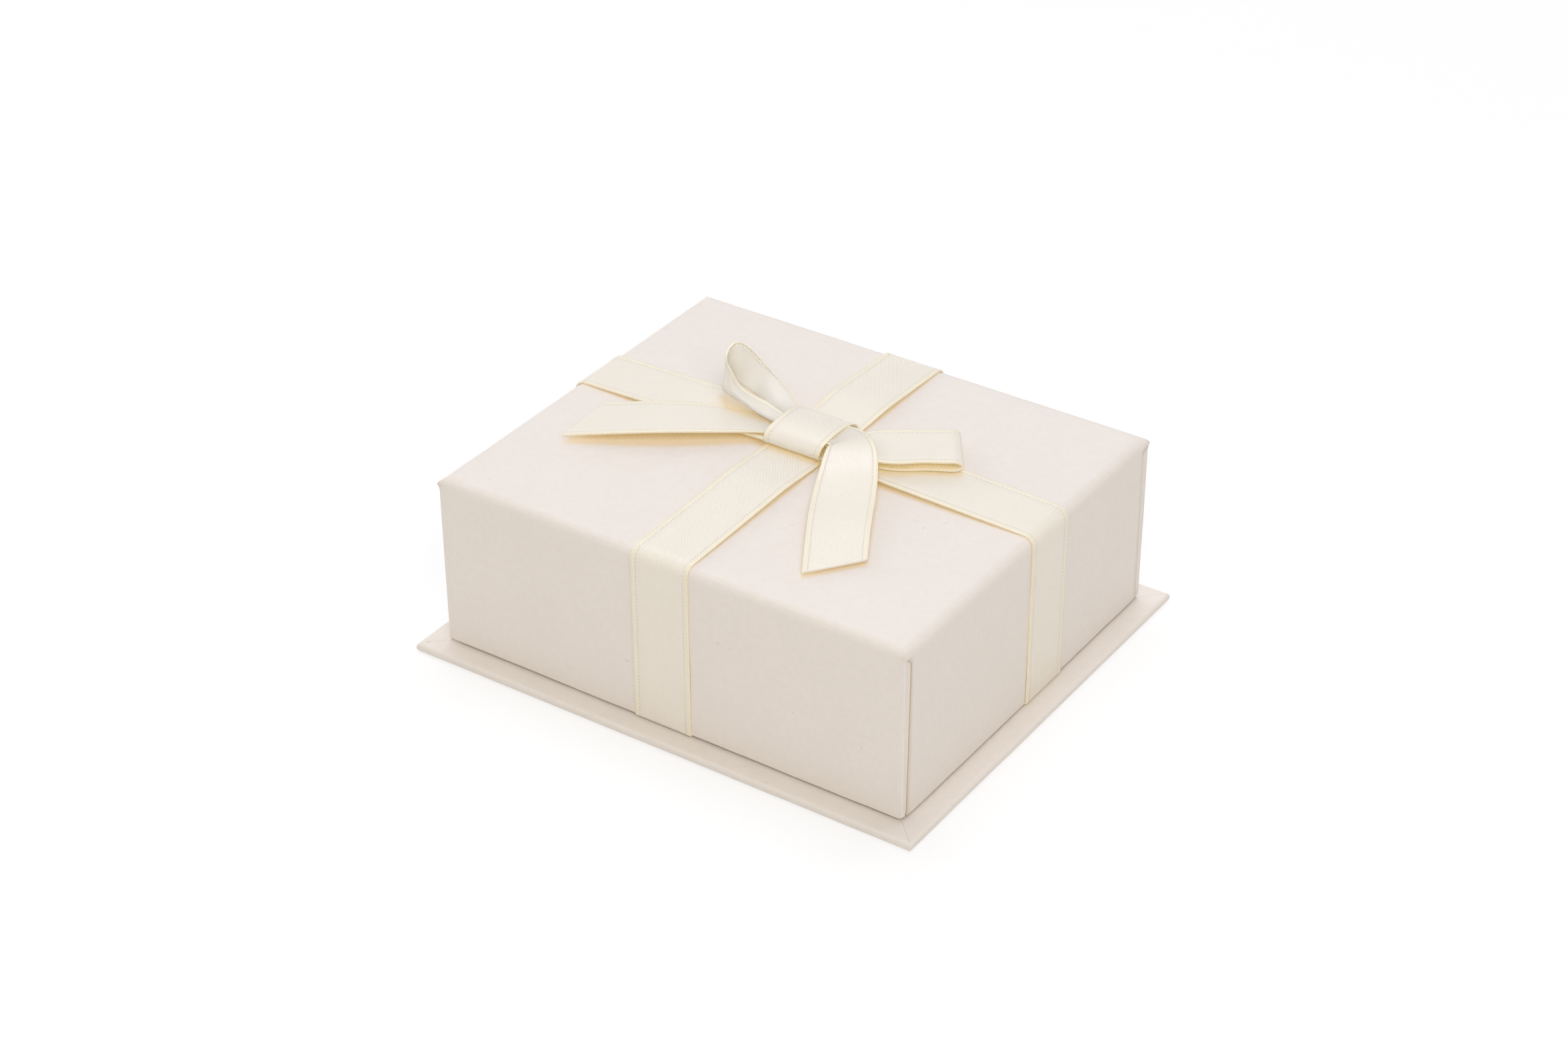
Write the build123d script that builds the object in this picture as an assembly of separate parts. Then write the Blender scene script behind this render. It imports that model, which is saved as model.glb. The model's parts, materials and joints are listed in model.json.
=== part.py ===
from build123d import *
import os

# A small rigid gift box: a paper-wrapped base plate whose edge projects as a flange, a lined
# tray glued on the plate, and a lift-off lid dressed with two satin bands and a tied bow.
# Millimetres, +Z up, origin at the centre of the underside, +X along the longer side.

# Sheet materials
PAPER = 0.2             # cover paper with its glue
LINING = 0.15           # plain paper inside the tray and the lid
STAY = 0.15             # gummed tape round the board corners
STAY_LEG = 9.0          # how far the tape runs from a corner along each wall
RIBBON = 0.35           # satin ribbon, thickness
RIBBON_WIDTH = 10.0     # satin ribbon, selvedge to selvedge

# Lid, measured over its paper
LID_LENGTH = 82.0
LID_WIDTH = 69.0
LID_HEIGHT = 28.8
LID_BOARD = 1.5
LID_EDGE = 1.5          # outside radius along the four top edges
EDGE_SHARE = 0.9        # most of the top board's thickness that its rounding may take
LID_TURN_IN = 12.0      # paper turned up inside the rim
LAP_MARGIN = 1.1        # strip left between a vertical edge and the end flap's lap
LAP_DROP = 3.0          # how far below the top the straight part of the lap starts

# Base plate
FLANGE = 3.6            # how far the plate projects past the lid
BASE_BOARD = 1.0
BASE_EDGE = 0.45        # outside radius along the plate's edges
BASE_TURN_IN = 13.0     # paper turned in over the plate's top
MITRE_GAP = 0.12        # slit between two turn-ins where they meet at a corner

# Tray
TRAY_HEIGHT = 21.0      # flange to tray rim
TRAY_BOARD = 1.2
TRAY_TURN_IN = 10.0     # paper turned down inside the tray's rim
TRAY_UNDERLAP = 8.0     # paper turned under the tray's floor

# Fits
LID_CLEARANCE = 0.35    # between the tray and a ribbon end inside the lid, each side
SEAT_GAP = 0.15         # between the flange and a ribbon turned under the lid's rim

# Satin bands and bow
LONG_BAND_Y = 4.5       # centre of the band that runs along the lid
CROSS_BAND_X = -0.5     # centre of the band that runs across the lid
BAND_TUCK = 9.0         # ribbon end glued up inside the rim
BAND_LIFT = 0.15        # slack that lifts the lower band off the lid at the crossing
BAND_LANDING = 1.0      # level stretch of a band beyond the crossing, each way
LAYER_GAP = 0.05        # between ribbons pressed together under the knot
PLY_GAP = 0.25          # between the plies that the knot gathers
KNOT_SIDE = 0.2         # between the knot and the selvedges of the band inside it
KNOT_SHOULDER = 1.5     # how far the knot's top is drawn in, each side
KNOT_ROUND = 1.0        # inside radius of the knot's bends
LOOP_OPENING = 1.0      # between the two plies of the loop that lies flat
LOOP_HEADING = 34.0     # degrees from +X towards +Y that this loop points
LOOP_REACH = 22.2       # along its heading, from the crossing to the inside of its fold
LOOP_ASIDE = 5.45       # from the crossing to the line that this loop's middle runs along
LOOP_NECK = 1.0         # length past the knot where its plies still lie together
LOOP_PARTING = 5.0      # length over which they part to the full opening
LOOP_BEND = 6.0         # inside radius of the bends where they part
FOLD_FLAT = 0.02        # straight stretch left in the middle of the fold

# Heights, worked up from the table
flange_top = BASE_BOARD + 2 * PAPER
lid_rim = flange_top + SEAT_GAP + RIBBON
lid_top = lid_rim + LID_HEIGHT
lid_core_bottom = lid_rim + PAPER
lid_core_top = lid_top - PAPER
lid_ceiling = lid_core_top - LID_BOARD
lid_turn_top = lid_rim + LID_TURN_IN
tray_rim = flange_top + TRAY_HEIGHT
tray_core_bottom = flange_top + PAPER
tray_core_top = tray_rim - PAPER
tray_floor_top = tray_core_bottom + TRAY_BOARD
tray_turn_bottom = tray_rim - TRAY_TURN_IN

# Plans, worked inwards from the lid; its ends carry a tab and a flap, so two papers
lid_core_length = LID_LENGTH - 4 * PAPER
lid_core_width = LID_WIDTH - 2 * PAPER
lid_hole_length = lid_core_length - 2 * LID_BOARD
lid_hole_width = lid_core_width - 2 * LID_BOARD
lid_clear_length = lid_hole_length - 2 * PAPER
lid_clear_width = lid_hole_width - 2 * PAPER
base_length = LID_LENGTH + 2 * FLANGE
base_width = LID_WIDTH + 2 * FLANGE
tray_length = lid_clear_length - 2 * (RIBBON + LID_CLEARANCE)
tray_width = lid_clear_width - 2 * (RIBBON + LID_CLEARANCE)
tray_core_length = tray_length - 2 * PAPER
tray_core_width = tray_width - 2 * PAPER
tray_hole_length = tray_core_length - 2 * TRAY_BOARD
tray_hole_width = tray_core_width - 2 * TRAY_BOARD

# Ribbons stacked at the crossing: cross band, underside of the knot, long band, then the bow
knot_under = lid_top + BAND_LIFT + RIBBON + LAYER_GAP
long_band_lift = knot_under + RIBBON + LAYER_GAP - lid_top
bow_deck = lid_top + long_band_lift + RIBBON
knot_plies = 3
knot_ceiling = bow_deck + knot_plies * RIBBON + (knot_plies + 1) * PLY_GAP


def block(length, width, bottom, top):
    """A box centred in plan between two heights."""
    return Pos(0, 0, (bottom + top) / 2) * Box(length, width, top - bottom)


def frame_block(length, width, wall, bottom, top):
    """A rectangular tube, measured outside."""
    return block(length, width, bottom, top) - block(length - 2 * wall, width - 2 * wall, bottom, top)


def rounded_block(length, width, bottom, top, radius, levels):
    """A block whose edges at the given levels, 0 for the bottom and -1 for the top, are rounded."""
    solid = block(length, width, bottom, top)
    loops = solid.edges().group_by(Axis.Z)
    return fillet([edge for level in levels for edge in loops[level]], radius)


def corner_stays(length, width, bottom, top):
    """Four strips of tape, each folded round one outside corner of the walls."""
    tape = frame_block(length, width, STAY, bottom, top)
    place_x = (length - STAY_LEG) / 2
    place_y = (width - STAY_LEG) / 2
    corners = [Pos(x, y, 0) for x in (-place_x, place_x) for y in (-place_y, place_y)]
    return [tape & (corner * block(STAY_LEG, STAY_LEG, bottom, top)) for corner in corners]


def wall_boards(prefix, length, width, board, bottom, top):
    """Two long walls, two short walls between them, and the stays pressed into their corners."""
    stays = corner_stays(length, width, bottom, top)
    long_wall = block(length, board, bottom, top)
    short_wall = block(board, width - 2 * board, bottom, top)
    shift_x = (length - board) / 2
    shift_y = (width - board) / 2
    return {
        prefix + "_front_wall": Pos(0, -shift_y, 0) * long_wall - stays,
        prefix + "_back_wall": Pos(0, shift_y, 0) * long_wall - stays,
        prefix + "_left_wall": Pos(-shift_x, 0, 0) * short_wall - stays,
        prefix + "_right_wall": Pos(shift_x, 0, 0) * short_wall - stays,
        prefix + "_corner_stays": Compound(children=stays),
    }


def base_plate():
    """The plate's board, and its paper brought round the edges with mitred corners on top."""
    board = rounded_block(base_length - 2 * PAPER, base_width - 2 * PAPER, PAPER, flange_top - PAPER,
                          BASE_EDGE - PAPER, (0, -1))
    paper = rounded_block(base_length, base_width, 0, flange_top, BASE_EDGE, (0, -1)) - board
    window_length = base_length - 2 * BASE_TURN_IN
    window_width = base_width - 2 * BASE_TURN_IN
    paper -= block(window_length, window_width, flange_top - PAPER, flange_top)
    slit_start = BASE_EDGE + MITRE_GAP
    slit_end = BASE_TURN_IN + MITRE_GAP
    mitre = block(2 ** 0.5 * (slit_end - slit_start), MITRE_GAP, flange_top - PAPER, flange_top)
    place_x = (base_length - slit_start - slit_end) / 2
    place_y = (base_width - slit_start - slit_end) / 2
    for side_x in (-1, 1):
        for side_y in (-1, 1):
            paper -= Pos(side_x * place_x, side_y * place_y, 0) * Rot(0, 0, 45 * side_x * side_y) * mitre
    return {"base_board": board, "base_wrap": paper}


def tray():
    """Floor, walls and stays of the tray, its outer paper and its lining."""
    pieces = {"tray_floor": block(tray_core_length, tray_core_width, tray_core_bottom, tray_floor_top)}
    pieces |= wall_boards("tray", tray_core_length, tray_core_width, TRAY_BOARD,
                          tray_floor_top, tray_core_top)
    paper = frame_block(tray_length, tray_width, PAPER, flange_top, tray_rim)
    paper += frame_block(tray_core_length, tray_core_width, TRAY_BOARD, tray_core_top, tray_rim)
    paper += frame_block(tray_hole_length, tray_hole_width, PAPER, tray_turn_bottom, tray_rim)
    paper += frame_block(tray_length, tray_width, TRAY_UNDERLAP, flange_top, tray_core_bottom)
    pieces["tray_wrap"] = paper
    lining = block(tray_hole_length, tray_hole_width, tray_floor_top, tray_turn_bottom)
    hollow = block(tray_hole_length - 2 * LINING, tray_hole_width - 2 * LINING,
                   tray_floor_top + LINING, tray_turn_bottom)
    pieces["tray_lining"] = lining - hollow
    return pieces


def lid_wrap(core):
    """The lid's paper: top, sides, the turn-in under the rim, and the lapped end flaps."""
    paper = rounded_block(LID_LENGTH, LID_WIDTH, lid_rim, lid_top, LID_EDGE, (-1,)) - core
    paper -= block(lid_hole_length, lid_hole_width, lid_rim, lid_core_bottom)
    paper += frame_block(lid_hole_length, lid_hole_width, PAPER, lid_rim, lid_turn_top)
    lap_top = lid_top - LAP_DROP
    step = Pos(0, 0, lid_rim - lap_top) * block(PAPER, 2 * LAP_MARGIN, 0, lap_top - lid_rim)
    step += Rot(0, 90, 0) * Cylinder(LAP_MARGIN, PAPER)
    for side_x in (-1, 1):
        for side_y in (-1, 1):
            paper -= Pos(side_x * (LID_LENGTH - PAPER) / 2, side_y * LID_WIDTH / 2, lap_top) * step
    return paper


def lid():
    """Top board, walls and stays of the lid, its outer paper and its lining."""
    core_edge = min(LID_EDGE - PAPER, EDGE_SHARE * LID_BOARD)
    core = rounded_block(lid_core_length, lid_core_width, lid_core_bottom, lid_core_top, core_edge, (-1,))
    pieces = {"lid_top_board": core & block(lid_core_length, lid_core_width, lid_ceiling, lid_core_top)}
    pieces |= wall_boards("lid", lid_core_length, lid_core_width, LID_BOARD, lid_core_bottom, lid_ceiling)
    pieces["lid_wrap"] = lid_wrap(core)
    lining = block(lid_hole_length, lid_hole_width, lid_turn_top, lid_ceiling)
    hollow = block(lid_hole_length - 2 * LINING, lid_hole_width - 2 * LINING,
                   lid_turn_top, lid_ceiling - LINING)
    pieces["lid_lining"] = lining - hollow
    return pieces


def band(outside, inside, crossing, lift, plane):
    """A ribbon over the lid, from a glued end inside one rim to a glued end inside the other."""
    landing = RIBBON_WIDTH / 2 + BAND_LANDING
    corners = [
        (-inside, lid_rim + BAND_TUCK),
        (-inside, lid_rim),
        (-outside, lid_rim),
        (-outside, lid_top),
        (crossing - landing, lid_top + lift),
        (crossing + landing, lid_top + lift),
        (outside, lid_top),
        (outside, lid_rim),
        (inside, lid_rim),
        (inside, lid_rim + BAND_TUCK),
    ]
    rim_bend = [0, 0]
    line = FilletPolyline(*corners, radius=rim_bend + [LID_EDGE, RIBBON, RIBBON, LID_EDGE] + rim_bend)
    profile = make_face(Wire(line.edges()).offset_2d(RIBBON, side=Side.LEFT))
    return extrude(plane * profile, RIBBON_WIDTH / 2, both=True)


def bands():
    """The band along the lid and, under it at the crossing, the band across the lid."""
    along = Plane(origin=(0, LONG_BAND_Y, 0), x_dir=(1, 0, 0), z_dir=(0, -1, 0))
    across = Plane(origin=(CROSS_BAND_X, 0, 0), x_dir=(0, 1, 0), z_dir=(1, 0, 0))
    return {
        "ribbon_long": band(LID_LENGTH / 2, lid_clear_length / 2, CROSS_BAND_X, long_band_lift, along),
        "ribbon_cross": band(LID_WIDTH / 2, lid_clear_width / 2, LONG_BAND_Y, BAND_LIFT, across),
    }


def bow_knot():
    """A loop of ribbon drawn round the long band and the gathered plies of the bow."""
    half_foot = RIBBON_WIDTH / 2 + KNOT_SIDE
    half_top = half_foot - KNOT_SHOULDER
    foot = knot_under + RIBBON
    shoulder = bow_deck + PLY_GAP
    corners = [
        (-half_foot, foot),
        (half_foot, foot),
        (half_foot, shoulder),
        (half_top, knot_ceiling),
        (-half_top, knot_ceiling),
        (-half_foot, shoulder),
    ]
    bends = [0, 0] + [KNOT_ROUND] * 4
    inside = Wire(FilletPolyline(*corners, radius=bends, close=True).edges())
    plane = Plane(origin=(CROSS_BAND_X, LONG_BAND_Y, 0), x_dir=(0, 1, 0), z_dir=(1, 0, 0))
    profile = make_face(inside.offset_2d(RIBBON)) - make_face(inside)
    return extrude(plane * profile, RIBBON_WIDTH / 2, both=True)


def at(x, y, z):
    """A point of the bow, in ribbon widths from the middle of the long band over the crossing."""
    return Vector(CROSS_BAND_X, LONG_BAND_Y, bow_deck) + Vector(x, y, z) * RIBBON_WIDTH


def ply_height(ply):
    """Height of the middle of a ply inside the knot, over the long band."""
    return PLY_GAP + RIBBON / 2 + ply * (RIBBON + PLY_GAP)


def gathered(x, y_near, y_far, ply):
    """A pair of selvedge points inside the knot, at the height of one of the plies it holds."""
    height = ply_height(ply) / RIBBON_WIDTH
    return at(x, y_near, height), at(x, y_far, height)


def strip(stations):
    """A ribbon ruled between its two selvedges, each a curve through the near or the far points."""
    centres = [(near + far) / 2 for near, far in stations]
    travel = [0.0]
    for start, end in zip(centres, centres[1:]):
        travel.append(travel[-1] + (end - start).length)
    selvedges = [Edge.make_spline(list(points), parameters=travel) for points in zip(*stations)]
    return thicken(Face.make_surface_from_curves(*selvedges), RIBBON / 2, both=True)


def bow_loop_left():
    """The loop that stands up and leans back, with its mouth towards the front."""
    return strip([
        gathered(-0.20, 0.05, -0.19, 1),
        (at(-0.55, -0.03, 0.12), at(-0.58, -0.20, 0.095)),
        (at(-0.97, -0.02, 0.33), at(-1.11, -0.17, 0.10)),
        (at(-1.15, -0.03, 0.46), at(-1.61, 0.09, 0.06)),
        (at(-1.32, -0.01, 0.57), at(-2.01, 0.41, 0.04)),
        (at(-1.72, 0.32, 0.76), at(-2.31, 0.67, 0.07)),
        (at(-1.72, 0.55, 0.80), at(-2.36, 1.03, 0.20)),
        (at(-1.40, 0.52, 0.73), at(-1.98, 1.18, 0.29)),
        (at(-1.07, 0.30, 0.53), at(-1.31, 0.94, 0.20)),
        gathered(-0.55, 0.04, 0.39, 2),
        gathered(-0.20, -0.11, 0.25, 2),
    ])


def bow_loop_right():
    """The loop that lies flat to the right, one ply over the other, narrowing into the knot."""
    neck = RIBBON_WIDTH / 2 + LOOP_NECK
    parted = neck + LOOP_PARTING
    fold = (LOOP_OPENING - FOLD_FLAT) / 2
    lines = []
    bends = []
    for skin in (0, RIBBON):
        low = ply_height(0) + RIBBON / 2 - skin
        high = ply_height(1) - RIBBON / 2 + skin
        bottom = RIBBON - skin
        top = RIBBON + LOOP_OPENING + skin
        tip = LOOP_REACH + skin
        lines.append([(0, low), (neck, low), (parted, bottom), (tip, bottom),
                      (tip, top), (parted, top), (neck, high), (0, high)])
        bends += [0, LOOP_BEND, LOOP_BEND, fold + skin, fold + skin, LOOP_BEND, LOOP_BEND, 0]
    profile = FilletPolyline(*lines[0], *reversed(lines[1]), radius=bends, close=True)
    heading = Vector(1, 0, 0).rotate(Axis.Z, LOOP_HEADING)
    aside = heading.cross(Vector(0, 0, 1))
    upright = Plane(origin=at(0, 0, 0), x_dir=heading, z_dir=aside)
    ribbon = extrude(upright * make_face(profile.edges()), LOOP_REACH, both=True)
    middle = at(0, 0, 0) + aside * LOOP_ASIDE
    half = aside * (RIBBON_WIDTH / 2)
    shoulder = middle + heading * parted
    beyond = middle + heading * (LOOP_REACH + RIBBON_WIDTH)
    outline = [at(0.25, -0.30, 0), at(0.62, -0.34, 0), shoulder + half, beyond + half,
               beyond - half, shoulder - half, at(0.62, 0.27, 0), at(0.25, 0.24, 0)]
    plan = make_face(Polyline(*outline, close=True))
    return ribbon & extrude(plan, RIBBON_WIDTH, both=True)


def bow_tail_left():
    """The tail that lies to the left just clear of the lid, cut on the slant."""
    return strip([
        gathered(-0.20, -0.33, 0.11, 0),
        gathered(-0.57, -0.41, 0.07, 0),
        (at(-0.89, -0.60, 0.05), at(-1.27, 0.01, 0.015)),
        (at(-1.77, -1.25, 0.08), at(-2.25, -0.39, 0.03)),
        (at(-3.125, -2.07, -0.02), at(-3.16, -0.94, -0.01)),
    ])


def bow_tail_front():
    """The tail that rises over the right of the knot and falls to the front, cut on the slant."""
    return strip([
        gathered(0.25, -0.27, 0.17, 2),
        (at(0.58, -0.36, 0.18), at(0.62, 0.27, 0.185)),
        (at(0.62, -0.46, 0.23), at(0.96, 0.11, 0.25)),
        (at(0.75, -1.00, 0.20), at(1.48, -0.45, 0.23)),
        (at(1.225, -1.90, 0.05), at(2.06, -1.49, 0.05)),
        (at(1.94, -3.15, -0.055), at(2.53, -2.36, -0.055)),
    ])


def bow():
    """The knot with the two loops and two tails that it gathers."""
    return {
        "bow_knot": bow_knot(),
        "bow_loop_left": bow_loop_left(),
        "bow_loop_right": bow_loop_right(),
        "bow_tail_left": bow_tail_left(),
        "bow_tail_front": bow_tail_front(),
    }


os.makedirs("parts", exist_ok=True)
for name, solid in (base_plate() | tray() | lid() | bands() | bow()).items():
    export_step(solid, os.path.join("parts", name + ".step"))
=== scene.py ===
import json
import math

import bmesh
import bpy
import numpy as np
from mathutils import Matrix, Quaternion, Vector, noise

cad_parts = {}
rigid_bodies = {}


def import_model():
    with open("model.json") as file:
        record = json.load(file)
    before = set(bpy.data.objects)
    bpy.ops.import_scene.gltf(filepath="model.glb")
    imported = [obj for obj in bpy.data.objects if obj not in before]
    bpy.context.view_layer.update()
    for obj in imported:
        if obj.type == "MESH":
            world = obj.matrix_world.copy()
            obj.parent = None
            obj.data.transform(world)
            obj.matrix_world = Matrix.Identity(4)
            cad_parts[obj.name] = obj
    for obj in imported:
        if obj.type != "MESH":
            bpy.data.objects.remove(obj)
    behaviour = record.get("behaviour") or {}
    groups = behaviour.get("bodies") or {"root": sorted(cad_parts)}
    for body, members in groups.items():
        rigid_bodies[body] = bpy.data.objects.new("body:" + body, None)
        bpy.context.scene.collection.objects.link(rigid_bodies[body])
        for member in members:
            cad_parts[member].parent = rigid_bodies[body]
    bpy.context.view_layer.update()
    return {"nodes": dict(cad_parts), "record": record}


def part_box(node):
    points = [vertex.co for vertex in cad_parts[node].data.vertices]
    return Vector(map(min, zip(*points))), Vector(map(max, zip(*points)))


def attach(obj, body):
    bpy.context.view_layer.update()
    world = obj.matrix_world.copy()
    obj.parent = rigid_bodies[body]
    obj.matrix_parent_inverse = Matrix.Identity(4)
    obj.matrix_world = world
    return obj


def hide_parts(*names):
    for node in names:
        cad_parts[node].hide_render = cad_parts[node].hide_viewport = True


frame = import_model()

# Sizes, in metres
MM = 0.001
TOUCH = 0.01 * MM              # points closer than this count as one place
PAPER = 0.2 * MM               # cover paper
RIBBON = 0.3 * MM              # satin, thickness
RIBBON_WIDTH = 10 * MM         # satin, selvedge to selvedge
RIBBON_EDGE = 0.07 * MM        # satin, rounding of its cut and woven edges

# The lid's paper
LID_EDGE = 1.6 * MM            # radius along the lid's top edges
LID_CORNER = 0.3 * MM          # radius along the lid's vertical edges
RIM_FOLD = 0.12 * MM           # radius of the fold at the lid's rim
RIM_DROP = 0.12 * MM           # how far the fold at the lid's rim hangs down
RIM_WAVE = 0.07 * MM           # how unevenly it hangs
RIM_WAVE_LENGTH = 5 * MM
RIM_LIFT = 0.45 * MM           # how far it rises at the corners
RIM_END_REACH = 2.6 * MM       # how far from a corner the rise starts, along the lid's ends
RIM_SIDE_REACH = 1.0 * MM      # and along its sides
LAP_MARGIN = 1.5 * MM          # from a vertical edge to the end flap's cut edge, at its top
LAP_TAPER = 0.45 * MM          # how much closer to the vertical edge the cut comes at the rim
LAP_WANDER = 0.05 * MM         # how unevenly the cut runs
LAP_WANDER_LENGTH = 3 * MM
LAP_DROP = 1.7 * MM            # from the lid's top to where the cut starts
LAP_STEP = 0.06 * MM           # width of the step down from the flap
LAP_SINK = 0.1 * MM            # depth of that step
LAP_LIP_TINT = 0.35            # how dark the flap's lip is
PLEAT = 0.28 * MM              # how far the gathered paper stands out at the lid's top corners
PLEAT_REACH = 1.1 * MM         # how far the gathers reach
PLEAT_DROP = 1.1 * MM          # from the lid's top to their middle
PLEAT_LEAN = 0.3               # how far up they lean for each step outwards along X and Y
PLEAT_CRINKLE = 0.45 * MM      # size of one crinkle
PLEAT_CRINKLE_DEPTH = 0.8      # how deep it is, as a share of the gather
PLEAT_CREASE = 0.3 * MM        # size of one crease, painted dark as shade
PLEAT_SHADE = 0.9               # how dark the painted shade in a crease is
FOLD_ANGLE = 1.0               # radians, past which an edge is a fold

# Places of extra cuts in the lid's paper: evenly along X, Y and Z, beside its edges, and round the notch
LID_PITCH = (2.1 * MM, 2.2 * MM, 1.4 * MM)
LID_EDGE_CUTS = (0.5 * MM, 1.0 * MM, 2.3 * MM)
NOTCH_SHARES = (1.0, 0.6, 0.3, 0.1, 0.0)

# From a vertical edge: the flap's lip, the foot of the step under it, and the tab beside that
LAP_COLUMNS = (LAP_MARGIN + LAP_STEP, LAP_MARGIN, LAP_MARGIN - 2 * LAP_STEP)

# The plate's and the tray's paper
BASE_EDGE = 0.45 * MM          # radius along the plate's edges
BASE_TURN_IN = 13 * MM         # paper turned in over the plate's top
BASE_PITCH = 1.3 * MM          # how closely the plate's paper is cut up
BASE_FOLD = 0.05 * MM          # radius of its small folds
MITRE_GAP = 0.12 * MM          # slit between two turn-ins
MITRE_DIP = PAPER / 4          # how deep it is
MITRE_TINT = 0.35              # how dark it is
TRAY_UNDERLAP = 8 * MM         # paper turned under the tray
TRAY_FOLD = 0.25 * MM          # radius along the tray's edges

# The ribbons
THREAD_STEP = 0.16 * MM        # length of one row of a ribbon's mesh
SCALLOP = 0.035 * MM           # depth of the waves that the weft leaves along a selvedge
SCALLOP_PITCH = 0.64 * MM
BAND_TUCK = 9 * MM             # how far a band's ends go up inside the lid's rim
BAND_FOLD = 0.2 * MM           # radius of its folds round the rim
SLACK_REACH = 14 * MM          # from the crossing to where a band stands highest off the lid
SLACK_BEND = 20 * MM           # radius of the band there
PRESS_REACH = 6 * MM           # from the crossing to where the knot presses a band down
PRESS_BEND = 12 * MM           # radius of the band there
LONG_SLACK = 0.75 * MM         # how high the long band stands off the lid
CROSS_SLACK = 0.6 * MM         # how high the cross band does
CROSS_PRESS = 0.15 * MM        # how high the cross band stays under the long one

# Satin's weave, in millimetres across and along a ribbon
SATIN_WIDTH = RIBBON_WIDTH / MM
FLOAT_LENGTH = 0.8
FLOAT_WIDTH = 0.2
FLOAT_SLANT = 1.6              # how far the floats step along for each millimetre across
STITCH_INSET = 0.85            # from a selvedge to its row of stitches
STITCH_PITCH = 0.62

# Where the frame's own pieces are
lid_low, lid_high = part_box("lid_wrap")
base_low, base_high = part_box("base_wrap")
tray_low, tray_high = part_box("tray_wrap")
lid_room_low, lid_room_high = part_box("lid_lining")
tray_room_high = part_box("tray_lining")[1]
long_low, long_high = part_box("ribbon_long")
cross_low, cross_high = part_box("ribbon_cross")
crossing = Vector(((cross_low.x + cross_high.x) / 2, (long_low.y + long_high.y) / 2, long_high.z))
lap_start = lid_high.z - LAP_DROP


# Materials

class Term:
    """A socket in a material. Arithmetic on it adds Math nodes."""

    def __init__(self, finish, socket):
        self.finish = finish
        self.socket = socket

    def math(self, operation, *terms):
        return self.finish.node("ShaderNodeMath", {"operation": operation}, dict(enumerate(terms)))

    def __add__(self, other):
        return self.math("ADD", self, other)

    def __sub__(self, other):
        return self.math("SUBTRACT", self, other)

    def __rsub__(self, other):
        return self.math("SUBTRACT", other, self)

    def __mul__(self, other):
        return self.math("MULTIPLY", self, other)

    def __abs__(self):
        return self.math("ABSOLUTE", self)

    __radd__ = __add__
    __rmul__ = __mul__


class Finish:
    """The nodes of one material, floor or sky."""

    def __init__(self, owner):
        owner.use_nodes = True
        self.owner = owner
        self.tree = owner.node_tree
        self.tree.nodes.clear()

    def node(self, kind, settings=None, sockets=None, output=0):
        made = self.tree.nodes.new(kind)
        for key, value in (settings or {}).items():
            setattr(made, key, value)
        for key, value in (sockets or {}).items():
            if isinstance(value, Term):
                self.tree.links.new(value.socket, made.inputs[key])
            else:
                made.inputs[key].default_value = value
        return Term(self, made.outputs[output])

    def place(self):
        return self.node("ShaderNodeTexCoord", output="Object")

    def noise(self, place, scale, detail=2.0):
        return self.node("ShaderNodeTexNoise", sockets={"Vector": place, "Scale": scale, "Detail": detail})

    def rise(self, value, low, high):
        """0 below low and 1 above high, with a soft step between."""
        settings = {"interpolation_type": "SMOOTHSTEP"}
        return self.node("ShaderNodeMapRange", settings, {"Value": value, "From Min": low, "From Max": high})

    def mix(self, share, first, second):
        return self.node("ShaderNodeMix", {"data_type": "RGBA"}, {0: share, 6: first, 7: second}, 2)

    def bump(self, height, distance):
        return self.node("ShaderNodeBump", sockets={"Height": height, "Distance": distance})

    def surface(self, **sockets):
        """Shows a Principled shader with the given sockets, and gives back the material."""
        named = {key.replace("_", " "): value for key, value in sockets.items()}
        self.show(self.node("ShaderNodeBsdfPrincipled", sockets=named))
        return self.owner

    def show(self, shader, kind="ShaderNodeOutputMaterial"):
        made = self.tree.nodes.new(kind)
        self.tree.links.new(shader.socket, made.inputs["Surface"])


def shade(red, green, blue):
    return (red, green, blue, 1.0)


def flecks(finish, place, scale, stretch, width):
    """Thin scattered fibres: 1 on a fibre, 0 elsewhere."""
    stretched = finish.node("ShaderNodeMapping", sockets={"Vector": place, "Scale": stretch})
    cells = finish.node("ShaderNodeTexVoronoi", sockets={"Vector": stretched, "Scale": scale})
    return 1 - finish.rise(cells, width / 2, width)


def pearl_paper():
    """Cream cover paper with a pearl sheen, faint clouds, fine grain and stray fibres."""
    finish = Finish(bpy.data.materials.new("pearl_paper"))
    place = finish.place()
    cloud = finish.noise(place, scale=130.0, detail=3.0)
    grain = finish.noise(place, scale=3600.0, detail=3.0)
    felt = finish.noise(place, scale=900.0)
    fibre = flecks(finish, place, scale=300.0, stretch=(1.0, 0.28, 0.6), width=0.045)
    fibre = fibre + flecks(finish, place, scale=340.0, stretch=(0.25, 1.0, 0.7), width=0.045)
    seam_and_crease_shade = finish.node("ShaderNodeAttribute", {"attribute_name": "seam_and_crease_shade"}, output="Fac")
    colour = finish.mix(cloud, shade(0.80, 0.745, 0.69), shade(0.84, 0.785, 0.735))
    colour = finish.mix(grain * 0.4, colour, shade(0.76, 0.70, 0.635))
    colour = finish.mix(finish.rise(felt, 0.35, 0.75) * 0.35, colour, shade(0.77, 0.71, 0.65))
    colour = finish.mix(fibre * 0.3, colour, shade(0.45, 0.38, 0.30))
    # Dark joints at the laps and mitres, and painted shade in the creases of the pleats at the lid's top
    # corners.
    colour = finish.mix(seam_and_crease_shade * 0.9, colour, shade(0.47, 0.31, 0.13))
    return finish.surface(
        Base_Color=colour,
        Roughness=0.42 + grain * 0.16,
        Specular_IOR_Level=0.35,
        Normal=finish.bump(grain * 0.7 + felt * 0.8 + cloud, 0.03 * MM),
    )


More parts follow.
